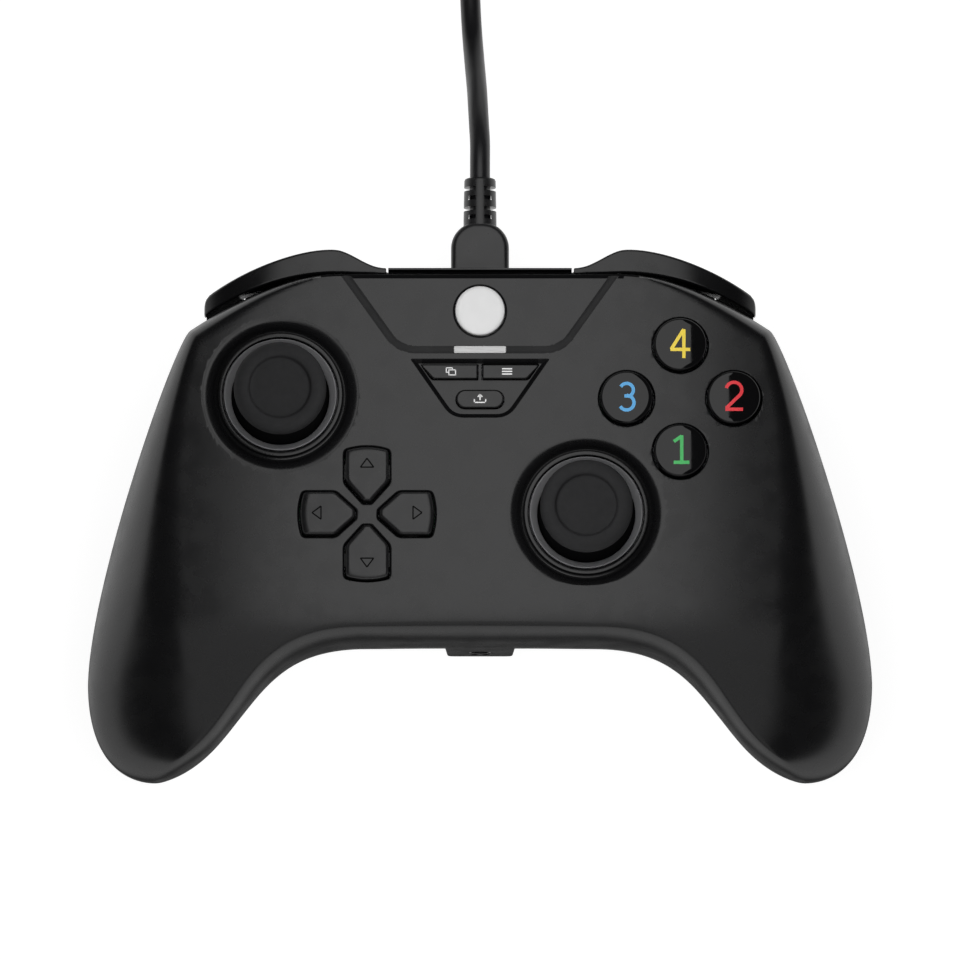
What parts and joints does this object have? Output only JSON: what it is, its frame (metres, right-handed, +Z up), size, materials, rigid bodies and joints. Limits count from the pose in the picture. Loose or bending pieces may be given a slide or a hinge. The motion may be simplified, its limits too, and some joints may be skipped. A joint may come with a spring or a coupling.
{
  "type": "gamepad controller",
  "caption": "Two-grip handheld gamepad with offset thumb sticks, direction keys, a diamond of face buttons, bumpers, triggers and a wired lead wound beside it.",
  "frame": {"origin": "on the table, under the middle of the casing's box without its lead", "axes": "+Z up out of the face, +X to the player's right, +Y away from the player, where the lead leaves"},
  "size_m": [0.154, 0.2366, 0.0543],
  "materials": {
    "shell_front": "fine moulded grain, matte black",
    "shell_rear": "fine moulded grain, matte black",
    "bumper_black": "smooth satin black",
    "trigger_black": "satin black",
    "button_gloss": "polished black dome",
    "key_black": "matte black",
    "small_key_black": "matte black",
    "home_pearl": "translucent pearl white",
    "light_diffuser": "frosted white diffuser",
    "stick_rubber": "soft-touch black rubber",
    "stick_ring_grey": "satin dark grey",
    "dome_rubber": "matte grey silicone",
    "circuit_board": "green solder mask",
    "component_black": "moulded black",
    "nylon": "natural white nylon",
    "pot_green": "moulded green",
    "steel": "plain drawn steel",
    "plated_sheet": "stamped and plated sheet",
    "weight_brass": "sintered yellow metal",
    "lead_jacket": "satin black jacket",
    "plug_black": "matte overmould"
  },
  "bodies": {
    "housing": {"front_shell": "shell_front", "rear_shell": "shell_rear", "top_bridge": "bumper_black", "case_screws": "steel", "status_light_bar": "light_diffuser", "bumper_switches": "component_black", "trigger_pins": "steel", "trigger_springs": "steel", "trigger_sensors": "component_black", "face_dome_sheet": "dome_rubber", "direction_dome_sheet": "dome_rubber", "middle_dome_sheet": "dome_rubber", "left_stick_frame": "plated_sheet", "left_stick_ring": "stick_ring_grey", "right_stick_frame": "plated_sheet", "right_stick_ring": "stick_ring_grey", "stick_potentiometers": "pot_green", "stick_click_switches": "component_black", "stick_springs": "steel", "left_motor": "plated_sheet", "right_motor": "plated_sheet", "button_board": "circuit_board", "main_board": "circuit_board", "headset_jack": "component_black", "usb_port": "plated_sheet", "plug_housing": "plug_black", "plug_tongue": "plated_sheet", "strain_relief": "plug_black", "lead": "lead_jacket", "lead_coil": "lead_jacket", "lead_tail": "lead_jacket", "usb_plug": "plug_black"},
    "left_bumper": {"left_bumper": "bumper_black"},
    "right_bumper": {"right_bumper": "bumper_black"},
    "left_trigger": {"left_trigger": "trigger_black"},
    "right_trigger": {"right_trigger": "trigger_black"},
    "home_button": {"home_button": "home_pearl"},
    "view_key": {"view_key": "small_key_black"},
    "menu_key": {"menu_key": "small_key_black"},
    "share_key": {"share_key": "small_key_black"},
    "face_button_south": {"face_button_south": "button_gloss"},
    "face_button_east": {"face_button_east": "button_gloss"},
    "face_button_west": {"face_button_west": "button_gloss"},
    "face_button_north": {"face_button_north": "button_gloss"},
    "direction_key_up": {"direction_key_up": "key_black"},
    "direction_key_right": {"direction_key_right": "key_black"},
    "direction_key_down": {"direction_key_down": "key_black"},
    "direction_key_left": {"direction_key_left": "key_black"},
    "left_motor_weight": {"left_motor_weight": "weight_brass"},
    "right_motor_weight": {"right_motor_weight": "weight_brass"},
    "left_rocker": {"left_lower_rocker": "nylon"},
    "left_hub": {"left_stick_hub": "nylon"},
    "left_stick": {"left_stick_cap": "stick_rubber", "left_stick_post": "steel"},
    "left_cross_rocker": {"left_upper_rocker": "nylon"},
    "right_rocker": {"right_lower_rocker": "nylon"},
    "right_hub": {"right_stick_hub": "nylon"},
    "right_stick": {"right_stick_cap": "stick_rubber", "right_stick_post": "steel"},
    "right_cross_rocker": {"right_upper_rocker": "nylon"}
  },
  "joints": [
    {"name": "press_south", "type": "slide", "parent": "housing", "child": "face_button_south", "axis": [0, 0, -1], "range_m": [0, 0.0012], "stiffness_N_per_m": 400, "springref_m": -0.0005, "deforming": ["face_dome_sheet"]},
    {"name": "press_east", "type": "slide", "parent": "housing", "child": "face_button_east", "axis": [0, 0, -1], "range_m": [0, 0.0012], "stiffness_N_per_m": 400, "springref_m": -0.0005, "deforming": ["face_dome_sheet"]},
    {"name": "press_west", "type": "slide", "parent": "housing", "child": "face_button_west", "axis": [0, 0, -1], "range_m": [0, 0.0012], "stiffness_N_per_m": 400, "springref_m": -0.0005, "deforming": ["face_dome_sheet"]},
    {"name": "press_north", "type": "slide", "parent": "housing", "child": "face_button_north", "axis": [0, 0, -1], "range_m": [0, 0.0012], "stiffness_N_per_m": 400, "springref_m": -0.0005, "deforming": ["face_dome_sheet"]},
    {"name": "press_up", "type": "slide", "parent": "housing", "child": "direction_key_up", "axis": [0, 0, -1], "range_m": [0, 0.0009], "stiffness_N_per_m": 400, "springref_m": -0.0005, "deforming": ["direction_dome_sheet"]},
    {"name": "press_right", "type": "slide", "parent": "housing", "child": "direction_key_right", "axis": [0, 0, -1], "range_m": [0, 0.0009], "stiffness_N_per_m": 400, "springref_m": -0.0005, "deforming": ["direction_dome_sheet"]},
    {"name": "press_down", "type": "slide", "parent": "housing", "child": "direction_key_down", "axis": [0, 0, -1], "range_m": [0, 0.0009], "stiffness_N_per_m": 400, "springref_m": -0.0005, "deforming": ["direction_dome_sheet"]},
    {"name": "press_left", "type": "slide", "parent": "housing", "child": "direction_key_left", "axis": [0, 0, -1], "range_m": [0, 0.0009], "stiffness_N_per_m": 400, "springref_m": -0.0005, "deforming": ["direction_dome_sheet"]},
    {"name": "press_home", "type": "slide", "parent": "housing", "child": "home_button", "axis": [0, 0, -1], "range_m": [0, 0.0006], "stiffness_N_per_m": 400, "springref_m": -0.0005, "deforming": ["middle_dome_sheet"]},
    {"name": "press_view", "type": "slide", "parent": "housing", "child": "view_key", "axis": [0, 0, -1], "range_m": [0, 0.0006], "stiffness_N_per_m": 400, "springref_m": -0.0005, "deforming": ["middle_dome_sheet"]},
    {"name": "press_menu", "type": "slide", "parent": "housing", "child": "menu_key", "axis": [0, 0, -1], "range_m": [0, 0.0006], "stiffness_N_per_m": 400, "springref_m": -0.0005, "deforming": ["middle_dome_sheet"]},
    {"name": "press_share", "type": "slide", "parent": "housing", "child": "share_key", "axis": [0, 0, -1], "range_m": [0, 0.0006], "stiffness_N_per_m": 400, "springref_m": -0.0005, "deforming": ["middle_dome_sheet"]},
    {"name": "press_left_bumper", "type": "hinge", "parent": "housing", "child": "left_bumper", "pos_m": [-0.0165, 0.0446, 0.0326], "axis": [0, 0, 1], "range_deg": [0, 1.6], "stiffness_Nm_per_rad": 0.3, "springref_deg": -1.15},
    {"name": "press_right_bumper", "type": "hinge", "parent": "housing", "child": "right_bumper", "pos_m": [0.0165, 0.0446, 0.0326], "axis": [0, 0, -1], "range_deg": [0, 1.6], "stiffness_Nm_per_rad": 0.3, "springref_deg": -1.15},
    {"name": "pull_left_trigger", "type": "hinge", "parent": "housing", "child": "left_trigger", "pos_m": [-0.0342, 0.0354, 0.022], "axis": [-1, 0, 0], "range_deg": [0, 18], "stiffness_Nm_per_rad": 0.1, "springref_deg": -5.73, "deforming": ["trigger_springs"]},
    {"name": "pull_right_trigger", "type": "hinge", "parent": "housing", "child": "right_trigger", "pos_m": [0.0342, 0.0354, 0.022], "axis": [-1, 0, 0], "range_deg": [0, 18], "stiffness_Nm_per_rad": 0.1, "springref_deg": -5.73, "deforming": ["trigger_springs"]},
    {"name": "tilt_left_stick_forward", "type": "hinge", "parent": "housing", "child": "left_rocker", "pos_m": [-0.0391, 0.0215, 0.03], "axis": [1, 0, 0], "range_deg": [-18, 18], "stiffness_Nm_per_rad": 0.04, "deforming": ["stick_springs"]},
    {"name": "tilt_left_stick_sideways", "type": "hinge", "parent": "left_rocker", "child": "left_hub", "pos_m": [-0.0391, 0.0215, 0.03], "axis": [0, 1, 0], "range_deg": [-18, 18], "stiffness_Nm_per_rad": 0.04, "deforming": ["stick_springs"]},
    {"name": "click_left_stick", "type": "slide", "parent": "left_hub", "child": "left_stick", "axis": [0, 0, -1], "range_m": [0, 0.0005], "stiffness_N_per_m": 800, "springref_m": -0.0005},
    {"name": "turn_left_cross_rocker", "type": "hinge", "parent": "housing", "child": "left_cross_rocker", "pos_m": [-0.0391, 0.0215, 0.03], "axis": [0, 1, 0], "range_deg": [-18, 18]},
    {"name": "tilt_right_stick_forward", "type": "hinge", "parent": "housing", "child": "right_rocker", "pos_m": [0.0208, -0.0018, 0.03], "axis": [1, 0, 0], "range_deg": [-18, 18], "stiffness_Nm_per_rad": 0.04, "deforming": ["stick_springs"]},
    {"name": "tilt_right_stick_sideways", "type": "hinge", "parent": "right_rocker", "child": "right_hub", "pos_m": [0.0208, -0.0018, 0.03], "axis": [0, 1, 0], "range_deg": [-18, 18], "stiffness_Nm_per_rad": 0.04, "deforming": ["stick_springs"]},
    {"name": "click_right_stick", "type": "slide", "parent": "right_hub", "child": "right_stick", "axis": [0, 0, -1], "range_m": [0, 0.0005], "stiffness_N_per_m": 800, "springref_m": -0.0005},
    {"name": "turn_right_cross_rocker", "type": "hinge", "parent": "housing", "child": "right_cross_rocker", "pos_m": [0.0208, -0.0018, 0.03], "axis": [0, 1, 0], "range_deg": [-18, 18]},
    {"name": "spin_left_motor_weight", "type": "hinge", "parent": "housing", "child": "left_motor_weight", "pos_m": [-0.061, -0.0345, 0.018], "axis": [0, 1, 0], "continuous": true},
    {"name": "spin_right_motor_weight", "type": "hinge", "parent": "housing", "child": "right_motor_weight", "pos_m": [0.061, -0.0345, 0.018], "axis": [0, 1, 0], "continuous": true}
  ],
  "couplings": [
    {"joint": "turn_left_cross_rocker", "follows": "tilt_left_stick_sideways", "ratio": 1},
    {"joint": "turn_right_cross_rocker", "follows": "tilt_right_stick_sideways", "ratio": 1}
  ]
}
